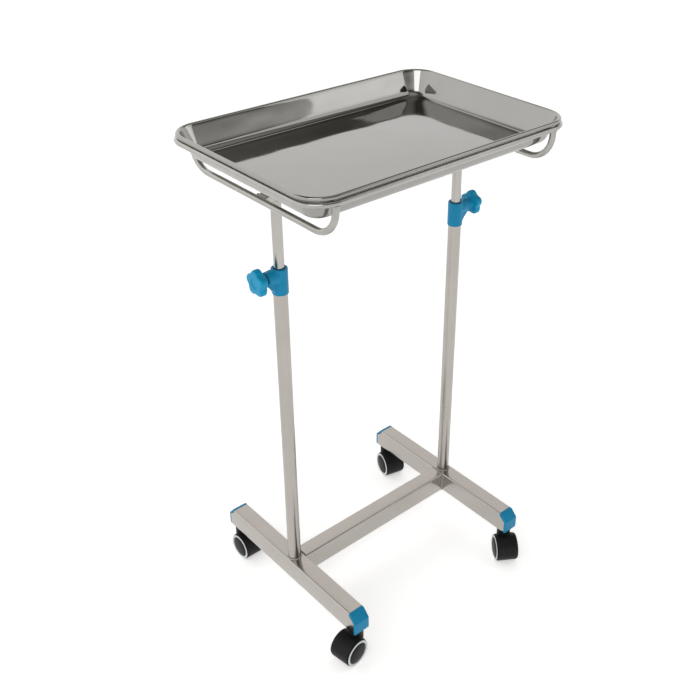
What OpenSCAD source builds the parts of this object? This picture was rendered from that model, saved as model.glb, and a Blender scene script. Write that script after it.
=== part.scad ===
// Instrument cart: a polished tray on a two-post, height-adjustable stand with an
// H-shaped base on four twin-wheel casters.
// X runs along the tray, Y across it with the front at -Y, and Z is up. The origin lies
// on the floor under the middle of the cart.

/* [Tray] */
// Length of the tray over its rolled rim
tray_l = 500; // [480:5:520]
// Width of the tray over its rolled rim
tray_w = 345; // [335:5:365]
// Height of the top of the rim above the floor, as set by the clamps
rim_h = 845; // [800:5:1040]
// Depth from the top of the rim to the underside of the tray's floor
tray_depth = 42; // [36:1:46]
// Outer corner radius of the rim
tray_corner = 45; // [42:1:60]
// How far the wall leans in between the rim and the floor
wall_lean = 18; // [12:1:22]
// Thickness of the tray's sheet
sheet = 1.2; // [0.8:0.1:1.5]
// Diameter of the rolled bead at the rim
bead_d = 7; // [6:0.5:8]

/* [Tray frame] */
// Diameter of the ring rod that the rim rests on
ring_d = 8; // [6:0.5:9]
// Diameter of the two U-shaped rods
u_rod_d = 10; // [8:0.5:12]
// Distance from the middle of the cart to each U-shaped rod
u_rod_x = 209; // [200:1:212]
// Height from the middle of a U-shaped rod's level run to the top of the rim
u_rod_drop = 64; // [60:1:74]
// Radius of the bends in the U-shaped rods, at the middle of the rod
u_bend = 42; // [30:1:44]
// Width of the support rail under the tray
rail_w = 20; // [15:1:30]

/* [Posts] */
// Distance from the middle of the cart to each post
post_x = 182; // [175:1:185]
// Outer diameter of the lower posts
lower_d = 22; // [21:0.5:24]
// Outer diameter of the sliding upper posts
upper_d = 16; // [15:0.5:17]
// Height of the top of the clamp collars above the floor
collar_top = 667; // [620:1:690]
// Height of the clamp collars
collar_h = 42; // [36:1:60]
// Length of the upper posts
upper_len = 496; // [450:2:520]

/* [Knobs] */
// Diameter of the star knob over its lobes
knob_d = 42; // [36:1:46]
// Number of lobes on the star knob
lobes = 5; // [5, 6, 7]
// Diameter of the clamp screw
screw_d = 8; // [8]

/* [Base] */
// Width of the rectangular base tube
bar_w = 30; // [28:1:34]
// Height of the rectangular base tube
bar_h = 40; // [38:1:45]
// Wall thickness of the base tube
bar_wall = 1.5; // [1.2:0.1:2]
// Length of a foot bar over its end caps
bar_len = 364; // [350:2:400]
// Height of the underside of the base tube above the floor
bar_z = 58; // [58:1:62]

/* [Casters] */
// Diameter of the caster wheels
wheel_d = 48; // [48]
// Distance from the swivel axis back to the axle
trail = 18; // [17:0.5:19]
// Distance from the end of a foot bar to the swivel axis
caster_inset = 16; // [14:1:40]
// Swivel angle of the front left caster
swivel_front_left = 188; // [0:1:360]
// Swivel angle of the front right caster
swivel_front_right = 236; // [0:1:360]
// Swivel angle of the back left caster
swivel_back_left = 270; // [0:1:360]
// Swivel angle of the back right caster
swivel_back_right = 255; // [0:1:360]

/* [Hidden] */
$fn = 48;

// Colours
polished = [0.82, 0.81, 0.79];
satin = [0.70, 0.68, 0.65];
blue = [0.04, 0.52, 0.72];
black = [0.13, 0.13, 0.14];
grey = [0.72, 0.76, 0.75];
zinc = [0.62, 0.63, 0.65];
brass = [0.78, 0.62, 0.30];
natural = [0.88, 0.87, 0.83];

// Clearances
running = 0.06;  // between a sliding or turning round part and its bore
gap = 0.3;       // between parts that come close without touching
eps = 0.01;      // overshoot of a cutting shape

// Tray section: s is measured outwards from a corner's centre
bead_r = bead_d / 2;
bead_s = tray_corner - bead_r;
bead_z = rim_h - bead_r;
floor_z = rim_h - tray_depth;
wall_top_s = tray_corner - bead_d + 0.6;
wall_top_z = bead_z + 1;
wall_foot_s = wall_top_s - wall_lean;
wall_angle = atan2(wall_top_z - floor_z - sheet, wall_lean);
fillet_r = 16;
fillet_run = fillet_r * tan(wall_angle / 2);
fillet_s = wall_foot_s - fillet_run;
fillet_z = floor_z + sheet + fillet_r;
fillet_steps = 8;
corner_x = tray_l / 2 - tray_corner;
corner_y = tray_w / 2 - tray_corner;

// Tray frame
ring_r = ring_d / 2;
ring_out = 2;    // how far the ring's middle line lies outside the bead's
ring_corner = bead_s + ring_out;
ring_z = rim_h - bead_d - ring_r - gap;
u_r = u_rod_d / 2;
u_z = rim_h - u_rod_drop;
u_y = corner_y + ring_corner - 3;  // the uprights end a little inside the ring's middle line
u_top = ring_z - 1.7;
rail_top = u_z + u_r;
rail_bottom = u_z - u_r;
rail_wall = 1.5;

// Posts
lower_wall = 1.5;
upper_wall = 1.2;
bar_top = bar_z + bar_h;
collar_lip = 3;
collar_r = lower_d / 2 + 1.6;
lower_top = collar_top - collar_lip;
upper_bottom = rail_bottom - upper_len;
bush_h = 12;
weld_h = 2.5;

// Clamp: d is measured outwards from a post's axis
boss_r = 12;
boss_tip_r = 11;
boss_end = 25;
screw_r = screw_d / 2;
screw_z = collar_top - boss_r;
insert_r = 5.5;
insert_start = 13.5;
pad_r = 3.9;
pad_start = upper_d / 2 + gap;
pad_end = 10.4;
screw_start = pad_end + 0.05;
neck_start = boss_end + 1.5;
neck_r = 8;
head_start = neck_start + 6.5;
head_t = 12;
screw_end = head_start + 7;
lobe_r = knob_d * 0.24;
knob_turn = 14;                   // angle of one lobe above the back

// Base
bar_r = 3;                        // outer corner radius of the base tube
bar_inner_r = bar_r - bar_wall;
cap_t = 4;                        // thickness of an end cap's outer wall
cap_bevel_y = 17;                 // how far back the slope at the top of the tube's end starts
cap_bevel_z = 15;                 // how far down that slope reaches
caster_y = bar_len / 2 - caster_inset;

// Casters
wheel_r = wheel_d / 2;
stem_r = 5;
stem_bottom = 44.5;
stem_flange_t = 2;
stem_top = bar_z + 11;
hood_top = bar_z - stem_flange_t - gap;
hood_r = wheel_r + 1;
hood_inner_r = wheel_r - 1.2;
hood_half = 18;
web_half = 3.2;
wheel_inner_r = wheel_r - 2;
wheel_in = 4;                     // distance from the caster's middle to a wheel's inner face
wheel_out = 20;
tyre_in = hood_half + gap;
tyre_out = 20.4;
tyre_inner_r = wheel_r - 4;
axle_r = 3;
axle_half = 18;
nut_af = 17;
nut_h = 8;

SIDES = [-1, 1];
// Each caster: side along X, side along Y, swivel angle
FRONT_LEFT = [-1, -1, swivel_front_left];
FRONT_RIGHT = [1, -1, swivel_front_right];
BACK_LEFT = [-1, 1, swivel_back_left];
BACK_RIGHT = [1, 1, swivel_back_right];
CASTERS = [FRONT_LEFT, FRONT_RIGHT, BACK_LEFT, BACK_RIGHT];

// ---- Shared shapes ----

module rounded_rect(x, y, r) {
    square([x - 2 * r, y], center = true);
    square([x, y - 2 * r], center = true);
    for (sx = SIDES, sy = SIDES)
        translate([sx * (x / 2 - r), sy * (y / 2 - r)])
            circle(r);
}

// A flat section (s, z) carried round the rounded rectangle of the tray
module around_tray() {
    for (a = [0, 180])
        rotate(a) {
            translate([corner_x, 0, 0])
                rotate([90, 0, 0])
                    linear_extrude(2 * corner_y, center = true)
                        children();
            translate([0, corner_y, 0])
                rotate([90, 0, 90])
                    linear_extrude(2 * corner_x, center = true)
                        children();
        }
    for (q = [[1, 1, 0], [-1, 1, 90], [-1, -1, 180], [1, -1, 270]])
        translate([q[0] * corner_x, q[1] * corner_y, 0])
            rotate(q[2])
                rotate_extrude(angle = 90, $fn = 64)
                    children();
}

// A cylinder or cone laid along X from d0 to d1, measured outwards on the given side
module along_x(side, d0, d1, r, tip_r = undef) {
    translate([side * d0, 0, 0])
        rotate([0, side * 90, 0])
            cylinder(h = d1 - d0, r1 = r, r2 = is_undef(tip_r) ? r : tip_r);
}

// ---- Tray and its frame ----

function arc(r, from, to, n) = [
    for (i = [0:n])
        let (a = from + (to - from) * i / n)
            [fillet_s + r * sin(a), fillet_z - r * cos(a)]
];

module tray_section() {
    out_s = sheet * sin(wall_angle);
    out_z = sheet * cos(wall_angle);
    polygon(concat(
        [[fillet_s - eps, floor_z], [fillet_s - eps, floor_z + sheet]],
        arc(fillet_r, 0, wall_angle, fillet_steps),
        [[wall_top_s, wall_top_z], [wall_top_s + out_s, wall_top_z - out_z]],
        arc(fillet_r + sheet, wall_angle, 0, fillet_steps)
    ));
    translate([bead_s, bead_z])
        circle(bead_r);
}

module tray() {
    color(polished) {
        around_tray()
            tray_section();
        translate([0, 0, floor_z])
            linear_extrude(sheet)
                rounded_rect(2 * (corner_x + fillet_s), 2 * (corner_y + fillet_s), fillet_s);
    }
}

module ring_rod() {
    around_tray()
        translate([ring_corner, ring_z])
            circle(ring_r);
}

module ring_frame() {
    color(polished)
        ring_rod();
}

// Half of a U-shaped rod, from its middle to the end of its upright
module half_u_rod() {
    rotate([-90, 0, 0])
        cylinder(h = u_y - u_bend, r = u_r);
    translate([0, u_y - u_bend, u_bend])
        rotate([90, 0, 90])
            rotate([0, 0, -90])
                rotate_extrude(angle = 90)
                    translate([u_bend, 0])
                        circle(u_r);
    translate([0, u_y, u_bend])
        cylinder(h = u_top - u_z - u_bend, r = u_r);
}

// A U-shaped rod, its uprights coped to the underside of the ring
module u_rod(side) {
    color(polished)
        difference() {
            translate([side * u_rod_x, 0, u_z]) {
                half_u_rod();
                mirror([0, 1, 0])
                    half_u_rod();
            }
            ring_rod();
        }
}

// A flat tube between the U-shaped rods, coped to fit them
module support_rail() {
    color(satin)
        difference() {
            translate([0, 0, (rail_top + rail_bottom) / 2])
                rotate([90, 0, 90])
                    linear_extrude(2 * u_rod_x, center = true)
                        difference() {
                            rounded_rect(rail_w, rail_top - rail_bottom, 1.5);
                            square([rail_w - 2 * rail_wall, rail_top - rail_bottom - 2 * rail_wall],
                                   center = true);
                        }
            for (side = SIDES)
                translate([side * u_rod_x, 0, u_z])
                    rotate([90, 0, 0])
                        cylinder(h = 2 * rail_w, r = u_r, center = true);
        }
}

// ---- Posts and clamps ----

module upper_post(side) {
    color(satin)
        translate([side * post_x, 0, upper_bottom])
            difference() {
                cylinder(h = upper_len, d = upper_d);
                translate([0, 0, -eps])
                    cylinder(h = upper_len - 2, r = upper_d / 2 - upper_wall);
            }
}

// A plastic plug that keeps the foot of an upper post central in the lower one
module guide_bush(side) {
    color(natural)
        translate([side * post_x, 0, upper_bottom]) {
            translate([0, 0, -bush_h])
                cylinder(h = bush_h, r = lower_d / 2 - lower_wall - running);
            cylinder(h = bush_h, r = upper_d / 2 - upper_wall);
        }
}

module lower_post(side) {
    color(satin)
        translate([side * post_x, 0, bar_top])
            difference() {
                union() {
                    cylinder(h = lower_top - bar_top, d = lower_d);
                    cylinder(h = weld_h, r1 = lower_d / 2 + weld_h, r2 = lower_d / 2);
                }
                translate([0, 0, -eps])
                    cylinder(h = lower_top, r = lower_d / 2 - lower_wall);
                translate([0, 0, screw_z - bar_top])
                    along_x(side, 0, lower_d, pad_r + 0.6);
            }
}

// A plastic collar over the top of a lower post, with a side boss for the clamp screw
module collar(side) {
    color(blue)
        translate([side * post_x, 0, 0])
            difference() {
                union() {
                    translate([0, 0, collar_top - collar_h])
                        cylinder(h = collar_h, r = collar_r);
                    translate([0, 0, screw_z])
                        along_x(side, 0, boss_end, boss_r, boss_tip_r);
                }
                translate([0, 0, collar_top - collar_h - eps])
                    cylinder(h = collar_h - collar_lip + eps, r = lower_d / 2 + running);
                cylinder(h = collar_top + 1, r = upper_d / 2 + running);
                translate([0, 0, screw_z]) {
                    along_x(side, 0, insert_start + eps, pad_r + gap);
                    along_x(side, insert_start, boss_end + eps, insert_r);
                }
            }
}

module threaded_insert(side) {
    color(brass)
        translate([side * post_x, 0, screw_z])
            difference() {
                along_x(side, insert_start, boss_end, insert_r);
                along_x(side, insert_start - eps, boss_end + eps, screw_r + running);
            }
}

module pressure_pad(side) {
    color(natural)
        translate([side * post_x, 0, screw_z])
            along_x(side, pad_start, pad_end, pad_r);
}

module clamp_screw(side) {
    color(zinc)
        translate([side * post_x, 0, screw_z])
            along_x(side, screw_start, screw_end, screw_r);
}

// Outline of the knob's head: a hub, round lobes and the webs that join them
module star_outline() {
    hub_r = knob_d / 2 - lobe_r * 1.25;
    circle(hub_r);
    for (i = [0:lobes - 1])
        rotate(i * 360 / lobes) {
            translate([knob_d / 2 - lobe_r, 0])
                circle(lobe_r);
            translate([0, -lobe_r])
                square([knob_d / 2 - lobe_r, 2 * lobe_r]);
        }
}

module star_knob(side) {
    color(blue)
        translate([side * post_x, 0, screw_z])
            difference() {
                union() {
                    along_x(side, neck_start, head_start + eps, neck_r);
                    translate([side > 0 ? head_start : -head_start - head_t, 0, 0])
                        rotate([90, 0, 90])
                            rotate(knob_turn)
                                linear_extrude(head_t)
                                    star_outline();
                }
                along_x(side, neck_start - eps, screw_end, screw_r);
            }
}

// ---- Base ----

module bar_section() {
    difference() {
        rounded_rect(bar_w, bar_h, bar_r);
        rounded_rect(bar_w - 2 * bar_wall, bar_h - 2 * bar_wall, bar_inner_r);
    }
}

// The sloping cut at the top of a foot bar's end, seen from the side as (y, z)
module end_slope(back) {
    polygon([
        [bar_len / 2 - cap_bevel_y, bar_h / 2],
        [bar_len / 2 - back, bar_h / 2 - cap_bevel_z],
        [bar_len / 2 - back, bar_h],
        [bar_len / 2 - cap_bevel_y, bar_h]
    ]);
}

module foot_bar(side) {
    color(satin)
        translate([side * post_x, 0, bar_z + bar_h / 2])
            difference() {
                rotate([90, 0, 0])
                    linear_extrude(bar_len - 2 * cap_t, center = true)
                        bar_section();
                for (a = [0, 180])
                    rotate(a)
                        rotate([90, 0, 90])
                            linear_extrude(2 * bar_w, center = true)
                                end_slope(cap_t - eps);
                for (sy = SIDES)
                    translate([0, sy * caster_y, -bar_h / 2 - eps])
                        cylinder(h = bar_wall + 2 * eps, r = stem_r + 0.2);
            }
}

module cross_bar() {
    length = 2 * post_x - bar_w;
    color(satin)
        translate([0, 0, bar_z + bar_h / 2])
            rotate([90, 0, 90])
                linear_extrude(length, center = true)
                    bar_section();
}

// A plastic cap with a sloping top that closes the end of a foot bar
module end_cap(sx, sy) {
    back = bar_len / 2 - cap_t;
    slope_back = bar_len / 2 - cap_bevel_y;
    cap_slope_y = 12;
    cap_slope_z = 14;
    foot_bevel = 3;
    plug_l = 5;
    plug_h = 10;
    color(blue)
        translate([sx * post_x, 0, bar_z + bar_h / 2])
            rotate(sy > 0 ? 0 : 180) {
                intersection() {
                    rotate([90, 0, 90])
                        linear_extrude(bar_w, center = true)
                            polygon([
                                [bar_len / 2 - cap_slope_y, bar_h / 2],
                                [bar_len / 2, bar_h / 2 - cap_slope_z],
                                [bar_len / 2, foot_bevel - bar_h / 2],
                                [bar_len / 2 - foot_bevel, -bar_h / 2],
                                [back, -bar_h / 2],
                                [back, bar_h / 2 - cap_bevel_z],
                                [slope_back, bar_h / 2]
                            ]);
                    translate([0, bar_len / 2, 0])
                        rotate([90, 0, 0])
                            linear_extrude(40)
                                rounded_rect(bar_w, bar_h, bar_r);
                }
                // the plug passes above the nut on the caster's stem
                translate([0, back - plug_l / 2 + eps, -3])
                    cube([bar_w - 2 * bar_wall - 0.4, plug_l, plug_h], center = true);
            }
}

// ---- Casters ----

// Places a caster's own frame: the swivel axis is Z and the axle lies at +X
module at_caster(c) {
    translate([c[0] * post_x, c[1] * caster_y, 0])
        rotate(c[2])
            children();
}

module stem_nuts() {
    color(zinc)
        for (c = CASTERS)
            translate([c[0] * post_x, c[1] * caster_y, bar_z + bar_wall])
                difference() {
                    cylinder(h = nut_h, d = nut_af / cos(30), $fn = 6);
                    translate([0, 0, -eps])
                        cylinder(h = nut_h + 2 * eps, r = stem_r);
                }
}

module caster_stem(c) {
    color(zinc)
        translate([c[0] * post_x, c[1] * caster_y, 0]) {
            translate([0, 0, stem_bottom])
                cylinder(h = stem_top - stem_bottom, r = stem_r);
            translate([0, 0, bar_z - stem_flange_t])
                cylinder(h = stem_flange_t, r = 11);
        }
}

// The wheels' room inside the hood
module wheel_pockets() {
    for (sy = SIDES)
        translate([trail, sy * web_half, wheel_r])
            rotate([-sy * 90, 0, 0])
                cylinder(h = hood_half * 2, r = hood_inner_r);
}

module caster_hood(c) {
    neck_r = 12.5;
    color(black)
        at_caster(c)
            difference() {
                union() {
                    translate([trail, 0, wheel_r])
                        rotate([90, 0, 0])
                            cylinder(h = 2 * hood_half, r = hood_r, center = true, $fn = 64);
                    translate([0, 0, wheel_r])
                        cylinder(h = hood_top - wheel_r, r = neck_r);
                }
                wheel_pockets();
                // open underneath and at the front below the neck
                translate([trail - 50, -50, -10])
                    cube([100, 100, 12.5]);
                translate([trail - 50, -50, -10])
                    cube([50, 100, wheel_r + 6]);
                translate([0, 0, stem_bottom - gap])
                    cylinder(h = 40, r = stem_r + running);
                translate([trail, 0, wheel_r])
                    rotate([90, 0, 0])
                        cylinder(h = 20, r = axle_r, center = true);
            }
}

module caster_axle(c) {
    color(zinc)
        at_caster(c)
            translate([trail, 0, wheel_r])
                rotate([90, 0, 0])
                    cylinder(h = 2 * axle_half, r = axle_r, center = true);
}

// Places a wheel's own frame: its axle is Z, pointing out of the caster's side sy
module at_wheel(c, sy) {
    at_caster(c)
        translate([trail, 0, wheel_r])
            rotate([-sy * 90, 0, 0])
                children();
}

// Half section of a wheel: a rim under the hood, a seat for the tyre and a domed face
module wheel_section() {
    bore = axle_r + running;
    dome = 2.8;
    dome_r = tyre_inner_r - 0.8;
    polygon(concat(
        [
            [bore, wheel_in],
            [wheel_inner_r, wheel_in],
            [wheel_inner_r, tyre_in],
            [tyre_inner_r, tyre_in],
            [tyre_inner_r, wheel_out]
        ],
        [for (i = [0:6]) [dome_r * cos(15 * i), wheel_out + dome * sin(15 * i)]],
        [[0, axle_half + gap], [bore, axle_half + gap]]
    ));
}

module wheel(c, sy) {
    color(black)
        at_wheel(c, sy)
            rotate_extrude($fn = 64)
                wheel_section();
}

module tyre(c, sy) {
    edge = 0.9;
    color(grey)
        at_wheel(c, sy)
            rotate_extrude($fn = 64)
                translate([(wheel_r + tyre_inner_r) / 2, (tyre_in + tyre_out) / 2])
                    rounded_rect(wheel_r - tyre_inner_r, tyre_out - tyre_in, edge);
}

tray();
ring_frame();
u_rod(-1);  // u_rod_left
u_rod(1);  // u_rod_right
support_rail();
upper_post(-1);  // upper_post_left
upper_post(1);  // upper_post_right
guide_bush(-1);  // guide_bush_left
guide_bush(1);  // guide_bush_right
lower_post(-1);  // lower_post_left
lower_post(1);  // lower_post_right
collar(-1);  // collar_left
collar(1);  // collar_right
threaded_insert(-1);  // threaded_insert_left
threaded_insert(1);  // threaded_insert_right
pressure_pad(-1);  // pressure_pad_left
pressure_pad(1);  // pressure_pad_right
clamp_screw(-1);  // clamp_screw_left
clamp_screw(1);  // clamp_screw_right
star_knob(-1);  // star_knob_left
star_knob(1);  // star_knob_right
foot_bar(-1);  // foot_bar_left
foot_bar(1);  // foot_bar_right
cross_bar();
stem_nuts();
end_cap(-1, -1);  // end_cap_front_left
end_cap(1, -1);  // end_cap_front_right
end_cap(-1, 1);  // end_cap_back_left
end_cap(1, 1);  // end_cap_back_right
caster_stem(FRONT_LEFT);  // caster_stem_front_left
caster_stem(FRONT_RIGHT);  // caster_stem_front_right
caster_stem(BACK_LEFT);  // caster_stem_back_left
caster_stem(BACK_RIGHT);  // caster_stem_back_right
caster_hood(FRONT_LEFT);  // caster_hood_front_left
caster_hood(FRONT_RIGHT);  // caster_hood_front_right
caster_hood(BACK_LEFT);  // caster_hood_back_left
caster_hood(BACK_RIGHT);  // caster_hood_back_right
caster_axle(FRONT_LEFT);  // caster_axle_front_left
caster_axle(FRONT_RIGHT);  // caster_axle_front_right
caster_axle(BACK_LEFT);  // caster_axle_back_left
caster_axle(BACK_RIGHT);  // caster_axle_back_right
wheel(FRONT_LEFT, -1);  // wheel_front_left_a
wheel(FRONT_LEFT, 1);  // wheel_front_left_b
wheel(FRONT_RIGHT, -1);  // wheel_front_right_a
wheel(FRONT_RIGHT, 1);  // wheel_front_right_b
wheel(BACK_LEFT, -1);  // wheel_back_left_a
wheel(BACK_LEFT, 1);  // wheel_back_left_b
wheel(BACK_RIGHT, -1);  // wheel_back_right_a
wheel(BACK_RIGHT, 1);  // wheel_back_right_b
tyre(FRONT_LEFT, -1);  // tyre_front_left_a
tyre(FRONT_LEFT, 1);  // tyre_front_left_b
tyre(FRONT_RIGHT, -1);  // tyre_front_right_a
tyre(FRONT_RIGHT, 1);  // tyre_front_right_b
tyre(BACK_LEFT, -1);  // tyre_back_left_a
tyre(BACK_LEFT, 1);  // tyre_back_left_b
tyre(BACK_RIGHT, -1);  // tyre_back_right_a
tyre(BACK_RIGHT, 1);  // tyre_back_right_b
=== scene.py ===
"""Instrument cart: the visual model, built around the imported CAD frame.

Lengths are in millimetres until a mesh is made. A "track" is a list of (centre, direction)
pairs that a section (s, z) is carried along, with s measured from the centre.
"""
import math

import bmesh
import bpy
from mathutils import Euler, Matrix, Vector, noise


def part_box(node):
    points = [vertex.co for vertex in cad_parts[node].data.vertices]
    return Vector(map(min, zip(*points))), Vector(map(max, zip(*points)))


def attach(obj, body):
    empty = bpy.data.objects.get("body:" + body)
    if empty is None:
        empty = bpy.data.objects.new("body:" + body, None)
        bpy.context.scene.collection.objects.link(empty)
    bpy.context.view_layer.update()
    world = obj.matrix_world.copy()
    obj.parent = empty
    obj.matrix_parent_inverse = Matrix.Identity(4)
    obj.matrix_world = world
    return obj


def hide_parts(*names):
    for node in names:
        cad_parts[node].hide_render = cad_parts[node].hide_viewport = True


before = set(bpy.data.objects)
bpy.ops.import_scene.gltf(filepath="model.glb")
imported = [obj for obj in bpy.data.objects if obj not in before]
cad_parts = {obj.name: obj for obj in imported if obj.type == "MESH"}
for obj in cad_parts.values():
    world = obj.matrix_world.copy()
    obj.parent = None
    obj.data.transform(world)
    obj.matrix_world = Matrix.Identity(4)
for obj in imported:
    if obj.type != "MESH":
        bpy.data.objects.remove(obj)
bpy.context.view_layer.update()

MM = 0.001
TAU = 2 * math.pi
SIDES = {"left": -1, "right": 1}
ENDS = {"front": -1, "back": 1}
X, Y, Z = Vector((1, 0, 0)), Vector((0, 1, 0)), Vector((0, 0, 1))


def mm_box(node):
    """Lowest and highest corner of a CAD node, in millimetres."""
    lo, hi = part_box(node)
    return lo / MM, hi / MM


# ---------------------------------------------------------------- materials

def node_material(name, slot_name):
    """A node material with its Principled shader, and a helper that adds nodes to it."""
    material = bpy.data.materials.new(name)
    material.use_nodes = True
    tree = material.node_tree
    shader = tree.nodes["Principled BSDF"]
    material["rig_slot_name"] = slot_name

    def add(kind, inputs=None, **settings):
        made = tree.nodes.new(kind)
        for key, value in settings.items():
            setattr(made, key, value)
        for key, value in (inputs or {}).items():
            if isinstance(value, bpy.types.NodeSocket):
                tree.links.new(value, made.inputs[key])
            else:
                made.inputs[key].default_value = value
        return made

    return material, tree, shader, add


def stretched_noise(add, scale, detail=4.0, rough=0.55):
    """Noise in object space, with its own scale along each axis."""
    place = add("ShaderNodeTexCoord")
    mapping = add("ShaderNodeMapping", {"Vector": place.outputs["Object"], "Scale": scale})
    return add("ShaderNodeTexNoise", {"Vector": mapping.outputs["Vector"], "Scale": 1.0,
                                      "Detail": detail, "Roughness": rough})


def remap(add, value, low, high, start=0.3, stop=0.7):
    """The value's middle range, start to stop, as low to high."""
    made = add("ShaderNodeMapRange", {"Value": value, "From Min": start, "From Max": stop,
                                      "To Min": low, "To Max": high})
    return made.outputs["Result"]


def two_tone(add, value, dark, light):
    """Blends two colours by a value."""
    made = add("ShaderNodeMix", data_type="RGBA")
    made.inputs["Factor"].default_value = 0.5
    made.id_data.links.new(value, made.inputs["Factor"])
    made.inputs[6].default_value = (*dark, 1)
    made.inputs[7].default_value = (*light, 1)
    return made.outputs[2]


def steel(name, slot_name, colour, grain, roughness, spread, bump, tone=0.06, smudge=0.0, waves=0.0):
    """Stainless steel: grain is the noise scale along X, Y and Z, low along the grain.
    waves is the height, in metres, of the broad unevenness that pressing leaves."""
    material, tree, shader, add = node_material(name, slot_name)
    lines = stretched_noise(add, grain, detail=5.0, rough=0.65).outputs["Fac"]
    clouds = stretched_noise(add, (14, 14, 14), detail=3.0).outputs["Fac"]
    both = add("ShaderNodeMath", {0: lines, 1: clouds}, operation="MULTIPLY").outputs["Value"]
    dark = [c * (1 - tone) for c in colour]
    light = [min(1, c * (1 + tone)) for c in colour]
    tree.links.new(two_tone(add, remap(add, both, 0, 1, 0.12, 0.4), dark, light), shader.inputs["Base Color"])
    rough = remap(add, lines, roughness - spread, roughness + spread)
    if smudge:
        prints = stretched_noise(add, (38, 38, 38), detail=2.0).outputs["Fac"]
        extra = remap(add, prints, 0, smudge, 0.52, 0.72)
        rough = add("ShaderNodeMath", {0: rough, 1: extra}, operation="ADD").outputs["Value"]
    tree.links.new(rough, shader.inputs["Roughness"])
    shader.inputs["Metallic"].default_value = 1.0
    height = add("ShaderNodeBump", {"Strength": bump, "Distance": 0.0002, "Height": lines})
    if waves:
        broad = stretched_noise(add, (11, 11, 22), detail=1.0).outputs["Fac"]
        dents = add("ShaderNodeBump", {"Strength": 1.0, "Distance": waves, "Height": broad})
        tree.links.new(dents.outputs["Normal"], height.inputs["Normal"])
    tree.links.new(height.outputs["Normal"], shader.inputs["Normal"])
    return material


def plastic(name, slot_name, dark, light, roughness, spread, bump, shine=0.3, pitch=900):
    """Moulded plastic with a faint surface grain and cloudy sheen."""
    material, tree, shader, add = node_material(name, slot_name)
    clouds = stretched_noise(add, (55, 55, 55), detail=4.0).outputs["Fac"]
    grain = stretched_noise(add, (pitch, pitch, pitch), detail=2.0).outputs["Fac"]
    tree.links.new(two_tone(add, remap(add, clouds, 0, 1), dark, light), shader.inputs["Base Color"])
    tree.links.new(remap(add, clouds, roughness - spread, roughness + spread), shader.inputs["Roughness"])
    shader.inputs["Specular IOR Level"].default_value = shine
    height = add("ShaderNodeBump", {"Strength": bump, "Distance": 0.0003, "Height": grain})
    tree.links.new(height.outputs["Normal"], shader.inputs["Normal"])
    return material


# The colours are fitted to the photograph under this script's studio. The steels are about half as
# bright as real stainless, so they need raising for another studio.
FINE = 1400      # noise scale across a brushed grain
LONG = 6         # noise scale along it
POLISHED = steel("polished_tray", "polished_steel", (0.31, 0.303, 0.292), (26, 26, 26), 0.06, 0.015, 0.01,
                 tone=0.02, smudge=0.02, waves=0.0010)
ROD = steel("bright_rod", "rod_steel", (0.39, 0.38, 0.36), (60, 60, 60), 0.16, 0.04, 0.05, tone=0.08)
SATIN_X = steel("satin_tube_x", "satin_steel", (0.43, 0.405, 0.38), (LONG, FINE, FINE), 0.17, 0.02, 0.05, tone=0.03)
SATIN_Y = steel("satin_tube_y", "satin_steel", (0.43, 0.405, 0.38), (FINE, LONG, FINE), 0.17, 0.02, 0.05, tone=0.03)
SATIN_Z = steel("satin_tube_z", "satin_steel", (0.42, 0.395, 0.37), (FINE, FINE, LONG), 0.26, 0.05, 0.15)
BRIGHT_Z = steel("bright_tube_z", "tube_steel", (0.44, 0.42, 0.40), (FINE, FINE, LONG), 0.22, 0.05, 0.15)
WELD = steel("weld_bead", "satin_steel", (0.40, 0.375, 0.34), (260, 260, 260), 0.38, 0.08, 0.4, tone=0.18)
ZINC = steel("bright_zinc", "zinc_steel", (0.50, 0.51, 0.53), (220, 220, 220), 0.28, 0.06, 0.2)
BRASS = steel("machined_brass", "brass_insert", (0.72, 0.55, 0.26), (220, 220, 220), 0.28, 0.06, 0.2)
BLUE = plastic("blue_moulding", "blue_plastic", (0.001, 0.19, 0.36), (0.003, 0.215, 0.395), 0.42, 0.05, 0.12,
               shine=0.2)
KNOB = plastic("blue_knob", "knob_plastic", (0.001, 0.235, 0.42), (0.003, 0.262, 0.46), 0.36, 0.05, 0.10, shine=0.2)
BLACK = plastic("black_moulding", "black_plastic", (0.007, 0.007, 0.008), (0.011, 0.011, 0.011), 0.45, 0.07, 0.15,
                shine=0.15)
TREAD = plastic("grey_tread_ring", "grey_tread", (0.48, 0.53, 0.515), (0.56, 0.60, 0.585), 0.55, 0.06, 0.10)
NYLON = plastic("natural_nylon", "natural_nylon", (0.74, 0.72, 0.66), (0.82, 0.80, 0.74), 0.5, 0.06, 0.15)


# ------------------------------------------------------------ mesh helpers

def in_scene(name, data):
    """A new scene object around a mesh, lamp or camera."""
    made = bpy.data.objects.new(name, data)
    bpy.context.scene.collection.objects.link(made)
    return made


def grid_mesh(name, rows, loop=False, caps=True):
    """A closed skin through rings of points. loop joins the last ring to the first;
    otherwise caps close both ends, and a ring of one repeated point closes itself."""
    bm = bmesh.new()
    made = [[bm.verts.new(Vector(p) * MM) for p in row] for row in rows]
    pairs = list(zip(made, made[1:] + made[:1])) if loop else list(zip(made, made[1:]))
    for a, b in pairs:
        for i in range(len(a)):
            j = (i + 1) % len(a)
            bm.faces.new((a[i], a[j], b[j], b[i]))
    if caps and not loop:
        bm.faces.new(list(reversed(made[0])))
        bm.faces.new(made[-1])
    bmesh.ops.remove_doubles(bm, verts=bm.verts, dist=1e-7)
    bmesh.ops.dissolve_degenerate(bm, edges=bm.edges, dist=1e-8)
    bmesh.ops.delete(bm, geom=[e for e in bm.edges if not e.link_faces], context="EDGES")
    bmesh.ops.recalc_face_normals(bm, faces=bm.faces)
    mesh = bpy.data.meshes.new(name)
    bm.to_mesh(mesh)
    bm.free()
    return mesh


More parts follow.
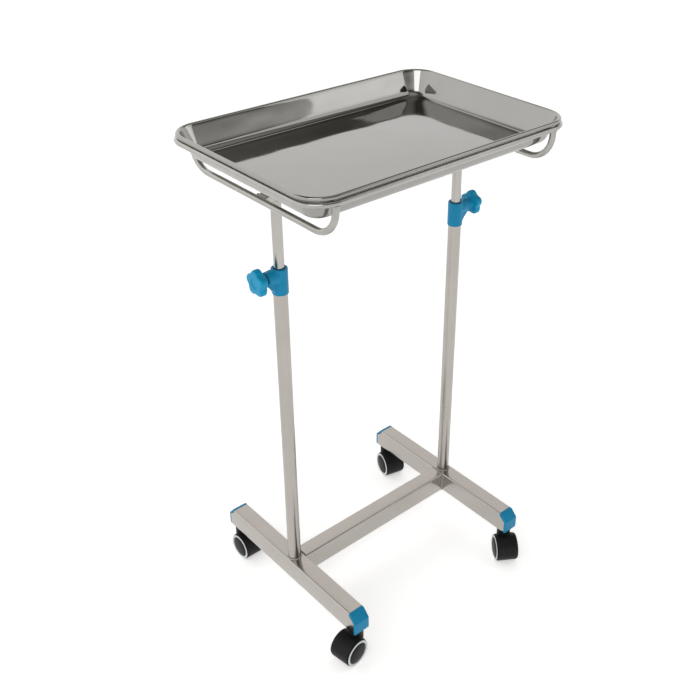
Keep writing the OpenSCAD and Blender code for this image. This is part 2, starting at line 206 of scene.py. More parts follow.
def join_meshes(name, meshes):
    """One mesh out of several shells."""
    bm = bmesh.new()
    for mesh in meshes:
        bm.from_mesh(mesh)
    joined = bpy.data.meshes.new(name)
    bm.to_mesh(joined)
    bm.free()
    return joined


def place(name, mesh, material, body, *nodes, sharp=40):
    """Makes a piece of a mesh: smooth shaded but for edges over the sharp angle."""
    piece = in_scene(name, mesh)
    mesh.materials.clear()
    mesh.materials.append(material)
    mesh.shade_smooth()
    mesh.set_sharp_from_angle(angle=math.radians(sharp))
    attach(piece, body)
    if nodes:
        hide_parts(*nodes)
    return piece


def rounded(points, radius, steps=5):
    """A closed outline with each corner turned into an arc. A point's third value is its own radius."""
    outline = []
    count = len(points)
    for i, point in enumerate(points):
        here = Vector(point[:2])
        before, after = (Vector(points[(i + k) % count][:2]) - here for k in (-1, 1))
        r = point[2] if len(point) > 2 else radius
        if r <= 0:
            outline.append(here)
            continue
        half = before.angle(after) / 2
        if half > TAU / 4 - 0.01:
            outline.append(here)
            continue
        reach = min(r / math.tan(half), 0.49 * before.length, 0.49 * after.length)
        r = reach * math.tan(half)
        middle = here + (before.normalized() + after.normalized()).normalized() * (r / math.sin(half))
        start = here + before.normalized() * reach - middle
        stop = here + after.normalized() * reach - middle
        turn = start.angle_signed(stop)
        for k in range(steps + 1):
            angle = -turn * k / steps
            outline.append(middle + Matrix.Rotation(angle, 2) @ start)
    return outline


def lathe(name, profile, centre=(0, 0, 0), axis=Z, steps=64, reshape=None):
    """Turns an (r, h) outline about an axis. reshape(direction, r, h) may move its points,
    with the direction as a unit vector away from the axis."""
    turn = axis.to_track_quat("Z", "Y").to_matrix()
    rows = []
    for k in range(steps):
        angle = TAU * k / steps
        away = turn @ Vector((math.cos(angle), math.sin(angle), 0))
        row = []
        for r, h in profile:
            if reshape:
                r, h = reshape(away, r, h)
            row.append(Vector(centre) + away * r + axis * h)
        rows.append(row)
    return grid_mesh(name, rows, loop=True)


def solid_profile(points, radius, steps=4):
    """A lathe outline for a solid, from the axis and back to it, with its corners rounded."""
    first, last = points[0], points[-1]
    return rounded([(*first[:2], 0), *points[1:-1], (*last[:2], 0)], radius, steps)


def tube(name, path, radius, plane, steps=24, loop=False, wobble=None):
    """A round rod along a path that lies in a plane, given by its normal."""
    rows = []
    count = len(path)
    for i, point in enumerate(path):
        after = path[(i + 1) % count] if loop or i + 1 < count else point
        before = path[i - 1] if loop or i else point
        along = (after - before).normalized()
        aside = along.cross(plane).normalized()
        r = radius * (wobble(i) if wobble else 1)
        rows.append([point + r * (math.cos(TAU * k / steps) * plane + math.sin(TAU * k / steps) * aside)
                     for k in range(steps)])
    return grid_mesh(name, rows, loop=loop)


def weld_loop(name, path, radius, pitch=1.6):
    """A fillet weld: a bead along a closed path, with the ripples that a torch leaves."""
    smooth = [p.copy() for p in path]
    total = sum((b - a).length for a, b in zip(smooth, smooth[1:] + smooth[:1]))
    count = int(total / pitch * 4)
    marks, walked, k = [], 0.0, 0
    for a, b in zip(smooth, smooth[1:] + smooth[:1]):
        length = (b - a).length
        while k < count and k * total / count <= walked + length + 1e-9:
            marks.append(a.lerp(b, (k * total / count - walked) / max(length, 1e-9)))
            k += 1
        walked += length
    centre = sum(marks, Vector()) / len(marks)
    plane = sum(((a - centre).cross(b - centre) for a, b in zip(marks, marks[1:])), Vector()).normalized()

    def ripple(i):
        return 1 + 0.10 * math.cos(TAU * i / 4) + 0.12 * noise.noise(marks[i] * 0.35)

    return tube(name, marks, radius, plane, steps=10, loop=True, wobble=ripple)


def track(half_x, half_y, corner_steps=16, side_steps=12):
    """The middle of the tray's rim: corner centres with the direction that a section faces."""
    corners = [(1, 1), (-1, 1), (-1, -1), (1, -1)]
    stations = []
    for i, (sx, sy) in enumerate(corners):
        centre = Vector((sx * half_x, sy * half_y, 0))
        for k in range(corner_steps + 1):
            angle = TAU / 4 * (i + k / corner_steps)
            stations.append((centre, Vector((math.cos(angle), math.sin(angle), 0))))
        nx, ny = corners[(i + 1) % 4]
        following = Vector((nx * half_x, ny * half_y, 0))
        for k in range(1, side_steps):
            stations.append((centre.lerp(following, k / side_steps), stations[-1][1]))
    return stations


def circle(centre, radius, z, count):
    """Points round an upright axis, at one height."""
    return [centre + Vector((math.cos(TAU * k / count), math.sin(TAU * k / count), 0)) * radius + Z * z
            for k in range(count)]


def rectangle(half_u, half_v):
    """The corners of a rectangle about the middle."""
    return [(-half_u, -half_v), (half_u, -half_v), (half_u, half_v), (-half_u, half_v)]


def straight(points, stop, count):
    """Adds points to a list of (s, z), evenly from its last one up to but without stop."""
    first = points[-1]
    for k in range(1, count):
        t = k / count
        points.append((first[0] + (stop[0] - first[0]) * t, first[1] + (stop[1] - first[1]) * t))


def bow(points, start, stop, centre, radius, steps):
    """Adds an arc to a list of (s, z) points, from one angle to another, in degrees."""
    for k in range(steps + 1):
        a = math.radians(start + (stop - start) * k / steps)
        points.append((centre[0] + radius * math.cos(a), centre[1] + radius * math.sin(a)))


# -------------------------------------------------------- tray and its frame

TRAY_LO, TRAY_HI = mm_box("tray")
RING_LO, RING_HI = mm_box("ring_frame")
RIM_Z = TRAY_HI.z
FLOOR_Z = TRAY_LO.z
TRAY_CORNER = 45
BEAD_R = 3.5
SHEET = 1.2
WALL_LEAN = 18
FILLET_R = 16
RING_R = (RING_HI.z - RING_LO.z) / 2
RING_Z = (RING_HI.z + RING_LO.z) / 2
HALF_X = TRAY_HI.x - TRAY_CORNER
HALF_Y = TRAY_HI.y - TRAY_CORNER
RING_S = RING_HI.x - RING_R - HALF_X


def tray_section():
    """The tray's section from the edge of its flat floor, up and over the rim and back underneath."""
    bead = (TRAY_CORNER - BEAD_R, RIM_Z - BEAD_R)
    top = (bead[0] - BEAD_R + 0.6, bead[1] + 1)
    slope = math.degrees(math.atan2(top[1] - FLOOR_Z - SHEET, WALL_LEAN))
    run = FILLET_R * math.tan(math.radians(slope / 2))
    fillet = (top[0] - WALL_LEAN - run, FLOOR_Z + SHEET + FILLET_R)
    wall = (math.cos(math.radians(slope)), math.sin(math.radians(slope)))
    section = []
    bow(section, -90, slope - 90, fillet, FILLET_R, 10)
    touch = (bead[0] - BEAD_R * wall[1], bead[1] + BEAD_R * wall[0])
    straight(section, touch, 8)
    start = 90 + slope
    inner = BEAD_R - SHEET
    stop = start - 360 + math.degrees(math.acos(inner / BEAD_R))
    bow(section, start, stop, bead, BEAD_R, 28)
    outer = []
    bow(outer, slope - 90, -90, fillet, FILLET_R + SHEET, 10)
    straight(section, outer[0], 8)
    return section + outer


def make_tray():
    """The pressed tray, whose floor is domed a little where the CAD floor is flat."""
    section = tray_section()
    stations = track(HALF_X, HALF_Y)
    crown = 1.8
    rows = []
    floor_steps = 14

    def floor_row(inset, t, base):
        """A ring of floor points, t of the way from the middle out to the edge, on a smooth dome."""
        edge = [c + d * inset for c, d in stations]
        reach_x, reach_y = max(p.x for p in edge), max(p.y for p in edge)
        return [p * t + Z * (base + crown * (1 - (p.x * t / reach_x) ** 2) * (1 - (p.y * t / reach_y) ** 2))
                for p in edge]

    for k in range(floor_steps):
        rows.append(floor_row(section[0][0], k / floor_steps, FLOOR_Z + SHEET))
    for s, z in section:
        rows.append([c + d * s + Z * z for c, d in stations])
    for k in range(floor_steps - 1, -1, -1):
        rows.append(floor_row(section[-1][0], k / floor_steps, FLOOR_Z))
    mesh = grid_mesh("tray_sheet", rows, caps=False)
    place("tray_sheet", mesh, POLISHED, "tray", "tray", sharp=50)


def make_ring():
    """The rod under the tray's rim, with the seam where its ends are joined."""
    rows = []
    for centre, direction in track(HALF_X, HALF_Y):
        middle = centre + direction * RING_S + Z * RING_Z
        rows.append([middle + RING_R * (math.cos(TAU * k / 24) * direction + math.sin(TAU * k / 24) * Z)
                     for k in range(24)])
    place("ring_rod", grid_mesh("ring_rod", rows, loop=True), ROD, "upper_frame", "ring_frame")
    joint = Vector((60, HALF_Y + RING_S, RING_Z))
    bead = tube("ring_seam", [joint + X * k for k in (-1.2, -0.5, 0.0, 0.5, 1.2)], RING_R, Y,
                wobble=lambda i: (0.96, 1.035, 1.05, 1.035, 0.96)[i])
    place("ring_seam", bead, WELD, "upper_frame")


U_BEND = 42


def make_u_rod(name):
    """A rod bent into a U, its uprights coped to the ring from below."""
    lo, hi = mm_box("u_rod_" + name)
    radius = (hi.x - lo.x) / 2
    x = (hi.x + lo.x) / 2
    run_z = lo.z + radius
    end_y = hi.y - radius
    bend_z = run_z + U_BEND
    half = [Vector((x, end_y, hi.z - (hi.z - bend_z) * k / 3)) for k in range(3)]
    for k in range(21):
        a = math.radians(-90 * k / 20)
        half.append(Vector((x, end_y - U_BEND + U_BEND * math.cos(a), bend_z + U_BEND * math.sin(a))))
    half += [Vector((x, (end_y - U_BEND) * (1 - k / 8), run_z)) for k in range(1, 8)]
    path = half + [Vector((x, 0, run_z))] + [Vector((p.x, -p.y, p.z)) for p in reversed(half)]
    mesh = tube("u_rod_" + name + "_bent", path, radius, X, steps=28)
    place("u_rod_" + name + "_bent", mesh, ROD, "upper_frame", "u_rod_" + name)
    beads = []
    ring_y = HALF_Y + RING_S
    for sy in (-1, 1):
        loop = []
        for k in range(32):
            a = TAU * k / 32
            out_y = end_y + radius * math.sin(a)
            under = abs(out_y - ring_y) < RING_R * 0.97
            r = radius + 0.2 if under else radius - 1.6
            drop = math.sqrt(RING_R ** 2 - (out_y - ring_y) ** 2) + 0.3 if under else RING_Z - hi.z + 1.6
            loop.append(Vector((x + r * math.cos(a), sy * (end_y + r * math.sin(a)), RING_Z - drop)))
        beads.append(weld_loop("bead", loop, 0.8))
    place("u_rod_" + name + "_welds", join_meshes("u_rod_" + name + "_welds", beads), WELD, "upper_frame")


def box_tube(name, axis, start, stop, width, height, corner, centre, trim=None, bend=0, stations=14):
    """A rectangular tube's skin along X or Y. trim(v) shortens both ends at a height v above the
    middle, and the ends' side edges bend at the height given as bend."""
    outline = rounded([(-width / 2, -height / 2), (width / 2, -height / 2), (width / 2, bend, 0),
                       (width / 2, height / 2), (-width / 2, height / 2), (-width / 2, bend, 0)], corner, 6)
    across = Y if axis == X else X
    rows = []
    for k in range(stations + 1):
        t = k / stations
        row = []
        for u, v in outline:
            ends = (start, stop)
            if trim:
                ends = (start + trim(v), stop - trim(v))
            row.append(centre + across * u + Z * v + axis * (ends[0] + (ends[1] - ends[0]) * t))
        rows.append(row)
    return grid_mesh(name, rows)


def make_rail():
    """The rail between the two U-shaped rods, welded to them at both ends."""
    lo, hi = mm_box("support_rail")
    centre = Vector((0, 0, (lo.z + hi.z) / 2))
    mesh = box_tube("rail_tube", X, lo.x + 1, hi.x - 1, hi.y - lo.y, hi.z - lo.z, 1.5, centre)
    place("rail_tube", mesh, SATIN_X, "upper_frame", "support_rail")
    beads = []
    for side in SIDES.values():
        end = side * (hi.x - 4.5)
        half_y, half_z = (hi.y - lo.y) / 2 + 0.2, (hi.z - lo.z) / 2
        loop = [centre + X * end + Y * u + Z * v
                for u, v in rounded(rectangle(half_y, half_z), 1.8, 4)]
        beads.append(weld_loop("bead", loop, 1.1))
    place("rail_welds", join_meshes("rail_welds", beads), WELD, "upper_frame")


# ------------------------------------------------------------ posts and clamps

POST_X = sum((mm_box("upper_post_right")[k].x for k in (0, 1))) / 2


def make_posts(name, side):
    """One side's upper post and the lower post that it slides in, with their welds."""
    lo, hi = mm_box("upper_post_" + name)
    radius = (hi.x - lo.x) / 2
    middle = Vector((side * POST_X, 0, 0))
    profile = solid_profile([(0, lo.z), (radius, lo.z), (radius, lo.z + 160), (radius, hi.z - 160),
                             (radius, hi.z), (0, hi.z)], 0.5)
    place("upper_post_" + name + "_tube", lathe("upper_tube", profile, middle), BRIGHT_Z, "upper_frame",
          "upper_post_" + name)
    ring = circle(middle, radius + 0.3, hi.z - 0.9, 32)
    place("upper_post_" + name + "_weld", weld_loop("post_weld", ring, 1.3), WELD, "upper_frame")

    lo, hi = mm_box("lower_post_" + name)
    radius = 11
    wall = 1.5
    outline = rounded([(radius, lo.z, 0), (radius, hi.z), (radius - wall, hi.z), (radius - wall, lo.z, 0)],
                      0.4, 3)
    screw_lo, screw_hi = mm_box("clamp_screw_" + name)
    pad_hole = lathe("pad_hole", [(0, 5), (4.5, 5), (4.5, 15), (0, 15)],
                     middle + Z * (screw_lo.z + screw_hi.z) / 2, X * side, 32)
    mesh = cut_out(lathe("lower_post_" + name + "_tube", outline, middle), pad_hole)
    place("lower_post_" + name + "_tube", mesh, SATIN_Z, "base", "lower_post_" + name)
    ring = circle(middle, radius + 0.5, lo.z + 0.5, 40)
    place("lower_post_" + name + "_weld", weld_loop("foot_weld", ring, 1.5, 1.9), WELD, "base")


def apply_modifiers(piece):
    """Replaces a piece's mesh with its evaluated one."""
    graph = bpy.context.evaluated_depsgraph_get()
    mesh = bpy.data.meshes.new_from_object(piece.evaluated_get(graph))
    piece.modifiers.clear()
    piece.data = mesh


def cut_out(mesh, cutter):
    """A mesh with another one's shape taken out of it."""
    body, other = in_scene(mesh.name, mesh), in_scene(cutter.name, cutter)
    modifier = body.modifiers.new("cut", "BOOLEAN")
    modifier.operation = "DIFFERENCE"
    modifier.object = other
    modifier.solver = "EXACT"
    apply_modifiers(body)
    made = body.data
    bpy.data.objects.remove(body)
    bpy.data.objects.remove(other)
    return made


def moulded(name, shells, voxel, smooth):
    """One moulding out of overlapping closed shells, with soft edges where they meet."""
    body = in_scene(name, join_meshes(name, shells))
    remesh = body.modifiers.new("remesh", "REMESH")
    remesh.mode = "VOXEL"
    remesh.voxel_size = voxel * MM
    relax = body.modifiers.new("relax", "SMOOTH")
    relax.factor = 0.5
    relax.iterations = smooth
    apply_modifiers(body)
    mesh = body.data
    bpy.data.objects.remove(body)
    return mesh


def make_collar(name, side):
    """A clamp collar: a sleeve over the lower post, a boss for the screw and a web under the boss."""
    lo, hi = mm_box("collar_" + name)
    middle = Vector((side * POST_X, 0, 0))
    outward = X * side
    radius = hi.y
    bore_r, mouth_r, guide_r = 11.05, 9.6, 8.15     # round the lower post, the top's funnel, the upper post
    boss_r, insert_r, pad_way_r = 12, 5.6, 5.4
    screw_z = hi.z - boss_r
    boss_end = abs(hi.x if side > 0 else lo.x) - POST_X
    boss_middle = middle + Z * screw_z
    sleeve = lathe("sleeve", rounded([
        (bore_r, lo.z, 0.5), (radius, lo.z, 1.2), (radius, hi.z, 1.6), (mouth_r, hi.z, 0.4),
        (guide_r, hi.z - 1.2, 0.3), (guide_r, hi.z - 3, 0), (bore_r, hi.z - 3, 0)], 1.0), middle)
    pad_way = lathe("pad_way", [(0, 5), (pad_way_r, 5), (pad_way_r, radius + 3), (0, radius + 3)],
                    boss_middle, outward, 48)
    sleeve = cut_out(sleeve, pad_way)

    def from_sleeve(away, r, h):
        """Starts a shape that sticks out of the sleeve inside the sleeve's wall."""
        start = math.sqrt(max(11.7 ** 2 - (away.y * r) ** 2, 0))
        return r, max(h, start)

    boss = lathe("boss", [(insert_r, 0), *[(r, 0) for r in (7, 8.5, 10, 11)], (boss_r, 0), (boss_r - 0.1, 12.5),
                          *rounded([(boss_r - 0.1, 13, 0), (boss_r - 1, boss_end, 1.3), (insert_r, boss_end, 0)], 1)],
                 boss_middle, outward, 72, from_sleeve)
    web = [(11.4, -10), (boss_end - 1, -10), (boss_end - 1.5, -12.2), (15.5, -20), (12.2, lo.z - screw_z + 4),
           (11.4, lo.z - screw_z + 4)]
    gusset = grid_mesh("gusset", [[boss_middle + outward * d + Z * h + Y * u for d, h in web] for u in (-6, 6)])
    plate = lathe("plate", [(insert_r, boss_end - 12), (8, boss_end - 12), (8, boss_end - 1),
                            (insert_r, boss_end - 1)], boss_middle, outward, 48)
    mesh = moulded("collar_" + name + "_moulding", [sleeve, boss, gusset, plate], 0.4, 5)
    place("collar_" + name + "_moulding", mesh, BLUE, "base", "collar_" + name, sharp=180)

    start = boss_end - 11.5
    outline = rounded([(4.3, start), (5.5, start), (5.5, boss_end), (4.3, boss_end)], 0.3, 3)
    thread = lathe("insert_thread", outline, boss_middle, outward, 48)
    place("threaded_insert_" + name + "_brass", thread, BRASS, "base", "threaded_insert_" + name)


def screw_thread(name, base, axis, start, stop, radius, lead=1.25):
    """A threaded rod: rings of points whose radius follows the helix."""
    depth = 0.55
    steps = 32
    count = int((stop - start) / lead * 8)
    turn = axis.to_track_quat("Z", "Y").to_matrix()
    rows = []
    for i in range(count + 1):
        h = start + (stop - start) * i / count
        fade = min(1, (h - start) / 0.6)
        row = []
        for k in range(steps):
            phase = (h / lead - k / steps) % 1
            crest = abs(2 * phase - 1)
            r = (radius - depth * (1 - crest)) * (0.86 + 0.14 * fade)
            a = TAU * k / steps
            row.append(base + turn @ Vector((r * math.cos(a), r * math.sin(a), h)))
        rows.append(row)
    return grid_mesh(name, rows)


def make_knob(name, side):
    """A star knob and the threaded screw that turns with it."""
    lo, hi = mm_box("star_knob_" + name)
    screw_lo, screw_hi = mm_box("clamp_screw_" + name)
    knob_lo, knob_hi = (lo.x, hi.x) if side > 0 else (-hi.x, -lo.x)
    screw = (screw_lo.x, screw_hi.x) if side > 0 else (-screw_hi.x, -screw_lo.x)
    screw_z = (screw_lo.z + screw_hi.z) / 2
    base = Vector((side * POST_X, 0, screw_z))
    outward = X * side
    neck, tip = knob_lo - POST_X, knob_hi - POST_X
    head = tip - 12
    lobes, lobe_turn = 5, math.radians(14)
    peak, valley = 21.0, 16.5

    def star(away, r, h):
        """The knob's shape: round at the neck and in the middle, lobed at the rim."""
        real = math.atan2(away.z, away.y)
        wave = 0.5 + 0.5 * math.cos(lobes * (real - lobe_turn))
        lobed = valley + (peak - valley) * wave ** 0.8
        share = max(0.0, min(1.0, (r - 8.5) / (peak - 8.5)))
        return r * (1 - share) + (r * lobed / peak) * share, h

    outline = rounded([
        (0, neck, 0), (7.6, neck, 0.6), (7.6, head - 2.5, 1.5), (10.5, head - 0.4, 1.5), (peak, head, 3.0),
        (peak, tip, 3.2), (8.6, tip, 1.0), (7.6, tip - 1.4, 0.8), (0, tip - 1.2, 0)], 1.0, 6)
    mesh = lathe("star_knob_" + name + "_moulding", outline, base, outward, 120, star)
    place("star_knob_" + name + "_moulding", mesh, KNOB, "knob_" + name, "star_knob_" + name, sharp=70)
    thread = screw_thread("clamp_screw_" + name + "_thread", base, outward, screw[0] - POST_X,
                          neck + 1.5, 4.0)
    place("clamp_screw_" + name + "_thread", thread, ZINC, "knob_" + name, "clamp_screw_" + name, sharp=60)


# ------------------------------------------------------------------- base

def make_base():
    """The foot bars with their sloping ends, and the cross bar welded between them."""
    lo, hi = mm_box("foot_bar_left")
    width, height = hi.x - lo.x, hi.z - lo.z
    centre_z = (hi.z + lo.z) / 2
    cap_t, bevel_y, bevel_z = 4, 17, 15
    corner = 3

    def trim(v):
        """How much shorter the bar is at a height, for its sloping ends."""
        above = v - (height / 2 - bevel_z)
        return max(0.0, above / bevel_z * (bevel_y - cap_t))

    for name, side in SIDES.items():
        centre = Vector((side * POST_X, 0, centre_z))
        mesh = box_tube("foot_bar_" + name + "_tube", Y, lo.y, hi.y, width, height, corner, centre, trim,
                        height / 2 - bevel_z)
        place("foot_bar_" + name + "_tube", mesh, SATIN_Y, "base", "foot_bar_" + name)
    lo, hi = mm_box("cross_bar")
    mesh = box_tube("cross_bar_tube", X, lo.x, hi.x, hi.y - lo.y, height, corner, Vector((0, 0, centre_z)))
    place("cross_bar_tube", mesh, SATIN_X, "base", "cross_bar")
    beads = []
    for side in SIDES.values():
        half_y, half_z = (hi.y - lo.y) / 2, height / 2
        loop = [Vector((side * (hi.x - 0.3), u, centre_z + v))
                for u, v in rounded(rectangle(half_y, half_z), corner, 5)]
        beads.append(weld_loop("bead", loop, 1.1, 1.8))
    place("cross_bar_welds", join_meshes("cross_bar_welds", beads), WELD, "base")


def make_end_cap(name, sx, sy):
    """A cap flush with the bar's tube: its outer edges are rounded, its back edge meets the steel."""
    lo, hi = mm_box("end_cap_" + name)
    half, corner, edge = (hi.x - lo.x) / 2, 3, 1.3
    outer = hi.y if sy > 0 else -lo.y
    top, bottom = hi.z, lo.z
    back = outer - 4
    across = [half - 3, half - 2.2, half - 1.5, half - 0.9, half - 0.4, half - 0.1, half]
    rows = []
    for u in [-u for u in reversed(across)] + [-half / 3, half / 3] + across:
        in_z = corner - math.sqrt(corner ** 2 - max(abs(u) - half + corner, 0) ** 2)
        in_y = edge - math.sqrt(edge ** 2 - max(abs(u) - half + edge, 0) ** 2)
        profile = rounded([(outer - 12 - in_y, top - in_z, 1.2), (outer - in_y, top - 14 - in_y / 2, 1.2),
                           (outer - in_y, bottom + 3, 1.2), (outer - 3 - in_y, bottom + in_z, 0),
                           (back - 0.2, bottom + in_z, 0), (back - 0.2, top - 15, 0),
                           (outer - 17, top - in_z, 0)], 1, 4)
        rows.append([Vector((sx * POST_X + u, sy * y, z)) for y, z in profile])
    plug = grid_mesh("plug", [[Vector((sx * POST_X + u, sy * (back - 5 + 5.5 * k), v))
                               for u, v in rounded([(-13, bottom + 12), (13, bottom + 12), (13, bottom + 22),
                                                    (-13, bottom + 22)], 1.5, 3)] for k in (0, 1)])
    mesh = join_meshes("end_cap_" + name + "_moulding", [grid_mesh("end_cap", rows), plug])
    place("end_cap_" + name + "_moulding", mesh, BLUE, "base", "end_cap_" + name, sharp=30)


# ---------------------------------------------------------------- casters

TYRE_LO, TYRE_HI = mm_box("tyre_back_left_a")
HOOD_LO, HOOD_HI = mm_box("caster_hood_back_left")
WHEEL_R = (TYRE_HI.z - TYRE_LO.z) / 2
TYRE_OUT = 20.4
TYRE_IN = TYRE_OUT - (TYRE_HI.x - TYRE_LO.x)
HOOD_R = WHEEL_R + 1
HOOD_HALF = (HOOD_HI.x - HOOD_LO.x) / 2


def make_hood(caster, pivot, back, axle, trail):
    """The moulded hood: a curved shell over both wheels, a web between them and a neck."""
    centre = pivot + back * trail + Z * WHEEL_R
    pocket_r, web_half, neck_r, bore_r = WHEEL_R - 1.2, 3.2, 12.5, 5.1
    top, bottom = HOOD_HI.z, HOOD_LO.z
    front_foot = WHEEL_R - 4
    start = math.degrees(math.asin((bottom - WHEEL_R) / HOOD_R))
    stop = 180 + math.degrees(math.asin(4 / HOOD_R))
    arc = [math.radians(start + (stop - start) * k / 60) for k in range(61)]
    section = rounded([(-HOOD_HALF, pocket_r), (HOOD_HALF, pocket_r), (HOOD_HALF, HOOD_R),
                       (-HOOD_HALF, HOOD_R)], 1.0, 4)
    shell = grid_mesh("shell", [[centre + axle * u + (back * math.cos(a) + Z * math.sin(a)) * r
                                 for u, r in section] for a in arc])
    outline = [centre + (back * math.cos(a) + Z * math.sin(a)) * (pocket_r + 0.8) for a in arc]
    outline += [centre - Z * 4, centre + Z * (bottom - WHEEL_R + 0.5)]
    web = grid_mesh("web", [[p + axle * u for p in outline] for u in (-web_half, web_half)])

    def over_wheels(away, r, h):
        """Keeps the neck's underside clear of the wheels' pockets."""
        x = away.dot(back) * r - trail
        under = WHEEL_R + math.sqrt(max(pocket_r ** 2 - x * x, 0)) if x > -pocket_r else front_foot
        return r, max(h, under)

    steps = [bore_r + (neck_r - bore_r) * k / 8 for k in range(9)]
    profile = [(r, 0) for r in steps] + rounded([(neck_r, top - 3, 0), (neck_r, top, 0.9), (bore_r, top, 0)], 1)
    neck = lathe("neck", profile, pivot, Z, 96, over_wheels)
    name = "caster_hood_" + caster + "_moulding"
    mesh = moulded(name, [shell, web, neck], 0.5, 4)
    place(name, mesh, BLACK, "caster_" + caster, "caster_hood_" + caster, sharp=180)


def make_wheel(caster, letter, centre, outward):
    """One wheel: a dark core with a domed face, and the light tread ring on it."""
    seat = WHEEL_R - 4
    face = 20.0
    inner_r = WHEEL_R - 2
    dome = []
    for k in range(9):
        a = math.radians(90 * k / 8)
        dome.append((max((seat - 1.2) * math.cos(a), 0), face - 0.5 + 3.1 * math.sin(a)))
    outline = [(0, 4), (inner_r - 0.8, 4), (inner_r, 4.8), (inner_r, TYRE_IN - 0.4), (inner_r - 0.4, TYRE_IN),
               (seat, TYRE_IN), (seat, face - 0.9), (seat - 0.5, face - 0.9), (seat - 0.8, face - 0.6)] + dome
    name = caster + "_" + letter
    place("wheel_" + name + "_disc", lathe("disc", outline, centre, outward, 72), BLACK, "wheel_" + name,
          "wheel_" + name, sharp=35)
    band = WHEEL_R - 0.3
    ring = rounded([(seat - 0.5, TYRE_IN + 0.6, 0.2), (band, TYRE_IN + 0.6, 0.2), (band, TYRE_OUT, 0.5),
                    (seat - 0.5, TYRE_OUT, 0.6)], 1, 6)
    place("tyre_" + name + "_ring", lathe("ring", ring, centre, outward, 96), TREAD, "wheel_" + name,
          "tyre_" + name, sharp=60)
    tread = rounded([(seat + 0.2, TYRE_IN, 0.3), (WHEEL_R, TYRE_IN, 0.6), (WHEEL_R, TYRE_OUT - 0.5, 0.5),
                     (seat + 0.2, TYRE_OUT - 0.5, 0.2)], 1, 5)
    place("tyre_" + name + "_tread", lathe("tread", tread, centre, outward, 96), BLACK, "wheel_" + name, sharp=60)


def make_caster(end, side_name):
    """A caster, turned about its stem as the frame has it."""
    caster = end + "_" + side_name
    lo, hi = mm_box("caster_stem_" + caster)
    pivot = Vector(((lo.x + hi.x) / 2, (lo.y + hi.y) / 2, 0))
    axle_lo, axle_hi = mm_box("caster_axle_" + caster)
    hub = (axle_lo + axle_hi) / 2
    back = (Vector((hub.x, hub.y, 0)) - pivot).normalized()
    axle = Z.cross(back)
    trail = (Vector((hub.x, hub.y, 0)) - pivot).length
    make_hood(caster, pivot, back, axle, trail)
    centre = pivot + back * trail + Z * WHEEL_R
    for letter, way in (("a", -1), ("b", 1)):
        make_wheel(caster, letter, centre, axle * way)
    top = hi.z
    stem = lathe("stem", solid_profile([(0, lo.z), (5, lo.z), (5, 56), (11, 56), (11, 58), (5, 58), (5, top),
                                        (0, top)], 0.3, 2), pivot, Z, 48)
    place("caster_stem_" + caster + "_turned", stem, ZINC, "base", "caster_stem_" + caster)


# ------------------------------------------------------- the whole object

make_tray()
make_ring()
make_rail()
for side_name, side_sign in SIDES.items():
    make_u_rod(side_name)
    make_posts(side_name, side_sign)
    make_collar(side_name, side_sign)
    make_knob(side_name, side_sign)
make_base()
for end_name, end_sign in ENDS.items():
    for side_name, side_sign in SIDES.items():
        make_end_cap(end_name + "_" + side_name, side_sign, end_sign)
        make_caster(end_name, side_name)

LEFT_AS_CAD = {"guide_bush": NYLON, "pressure_pad": NYLON, "stem_nuts": ZINC, "caster_axle": ZINC}
for node_name, node_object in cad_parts.items():
    for start, material in LEFT_AS_CAD.items():
        if node_name.startswith(start):
            node_object.data.materials.clear()
            node_object.data.materials.append(material)


# ---------------------------------------------------- floor, light, camera

def make_stage():
    """A plain pale floor that also glows faintly, so that it stays white under the soft light."""
    material, _, shader, _ = node_material("pale_floor", "")
    shader.inputs["Base Color"].default_value = (0.98, 0.98, 0.98, 1)
    shader.inputs["Roughness"].default_value = 0.85
    shader.inputs["Specular IOR Level"].default_value = 0.2
    shader.inputs["Emission Color"].default_value = (1, 1, 1, 1)
    shader.inputs["Emission Strength"].default_value = 0.38
    bm = bmesh.new()
    bmesh.ops.create_grid(bm, x_segments=1, y_segments=1, size=30)
    mesh = bpy.data.meshes.new("floor")
    bm.to_mesh(mesh)
    bm.free()
    mesh.materials.append(material)
    in_scene("floor", mesh)


CEILING_UP = (0.2, -0.2, 1)                 # up, leaning to the front right
SOFT_BOX = Vector((0.47, 0.58, 0.66)).normalized()
SOFT_BOX_EDGE = (0.955, 0.975)              # cosines off the box's middle, outside and inside its edge
SOFT_BOX_COLOUR = (0.86, 0.84, 0.82, 1)
BACK_LEFT = (-0.707, 0.707, 0)
SKY_STRENGTH, SKY_SLANT = 1.25, 0.2         # the mean, and what the back left has over it
SKY = [(0.0, (0.94, 0.935, 0.925)), (0.56, (0.94, 0.935, 0.925)), (0.65, (0.50, 0.495, 0.47)),
       (0.72, (0.11, 0.112, 0.095)), (0.90, (0.11, 0.112, 0.095)), (1.0, (0.45, 0.45, 0.44))]


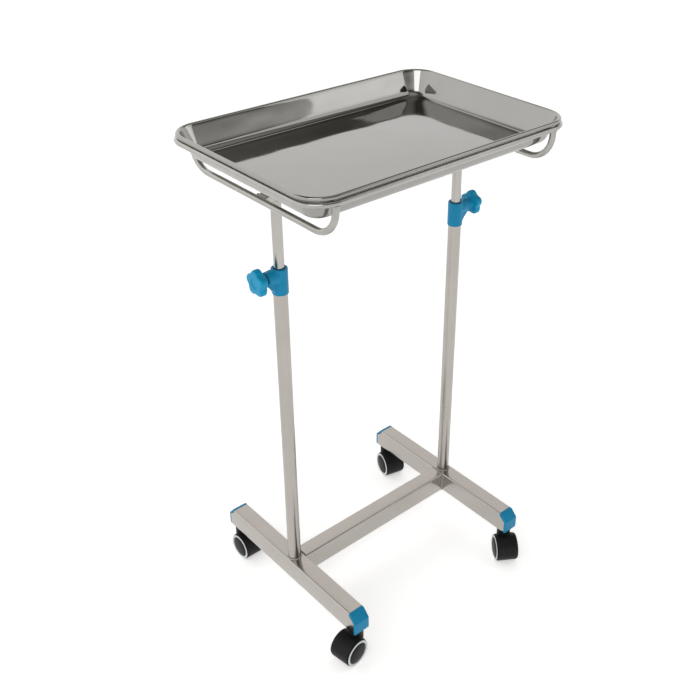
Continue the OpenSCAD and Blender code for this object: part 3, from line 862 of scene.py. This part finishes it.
def make_world():
    """A studio: white low down all round, a little brighter at the back left, under a dark ceiling
    that comes lower toward the front right. One soft box hangs behind the cart, placed so that the
    level steel faces mirror it to the photograph's camera."""
    world = bpy.data.worlds.new("studio")
    bpy.context.scene.world = world
    world.use_nodes = True
    tree = world.node_tree
    background = tree.nodes["Background"]
    sky_place = tree.nodes.new("ShaderNodeTexCoord")

    def along(direction):
        """How far a ray points along a direction."""
        made = tree.nodes.new("ShaderNodeVectorMath")
        made.operation = "DOT_PRODUCT"
        made.inputs[1].default_value = direction
        tree.links.new(sky_place.outputs["Generated"], made.inputs[0])
        return made.outputs["Value"]

    ramp = tree.nodes.new("ShaderNodeValToRGB")
    ramp.color_ramp.elements[0].position = SKY[0][0]
    ramp.color_ramp.elements[1].position = SKY[-1][0]
    for position, _ in SKY[1:-1]:
        ramp.color_ramp.elements.new(position)
    for element, (_, colour) in zip(ramp.color_ramp.elements, SKY):
        element.color = (*colour, 1)
    tree.links.new(along(CEILING_UP), ramp.inputs["Fac"])

    edge = tree.nodes.new("ShaderNodeMapRange")
    edge.interpolation_type = "SMOOTHSTEP"
    edge.inputs["From Min"].default_value, edge.inputs["From Max"].default_value = SOFT_BOX_EDGE
    tree.links.new(along(SOFT_BOX), edge.inputs["Value"])
    lit = tree.nodes.new("ShaderNodeMix")
    lit.data_type = "RGBA"
    lit.inputs[7].default_value = SOFT_BOX_COLOUR
    tree.links.new(edge.outputs["Result"], lit.inputs[0])
    tree.links.new(ramp.outputs["Color"], lit.inputs[6])
    tree.links.new(lit.outputs[2], background.inputs["Color"])

    strength = tree.nodes.new("ShaderNodeMath")
    strength.operation = "MULTIPLY_ADD"
    strength.inputs[1].default_value = SKY_SLANT
    strength.inputs[2].default_value = SKY_STRENGTH
    tree.links.new(along(BACK_LEFT), strength.inputs[0])
    tree.links.new(strength.outputs["Value"], background.inputs["Strength"])


def add_lamp(name, location, size, power, target=(0, 0, 0.5)):
    """A soft rectangular lamp aimed at a point, in metres and watts."""
    lamp = bpy.data.lights.new(name, "AREA")
    lamp.shape = "RECTANGLE"
    lamp.size, lamp.size_y = size
    lamp.energy = power
    holder = in_scene(name, lamp)
    holder.location = location
    aim = Vector(target) - Vector(location)
    holder.rotation_euler = aim.to_track_quat("-Z", "Y").to_euler()


def make_camera():
    """The photograph's view: 50 mm lens from the front left, a little above the tray."""
    camera = bpy.data.cameras.new("camera")
    camera.lens = 50.0
    camera.sensor_width = 36.0
    camera.shift_x = -0.0714
    camera.shift_y = -0.0429
    holder = in_scene("camera", camera)
    holder.location = (-0.9043, -1.0371, 1.3270)
    holder.rotation_euler = Euler([math.radians(a) for a in (59.213, -0.887, -42.379)], "XYZ")
    bpy.context.scene.camera = holder


make_stage()
make_world()
add_lamp("key", (-1.6, -1.4, 2.6), (1.6, 1.2), 12)
add_lamp("fill", (1.8, -1.2, 2.2), (1.4, 1.4), 6)
make_camera()
bpy.context.scene.view_settings.view_transform = "Standard"
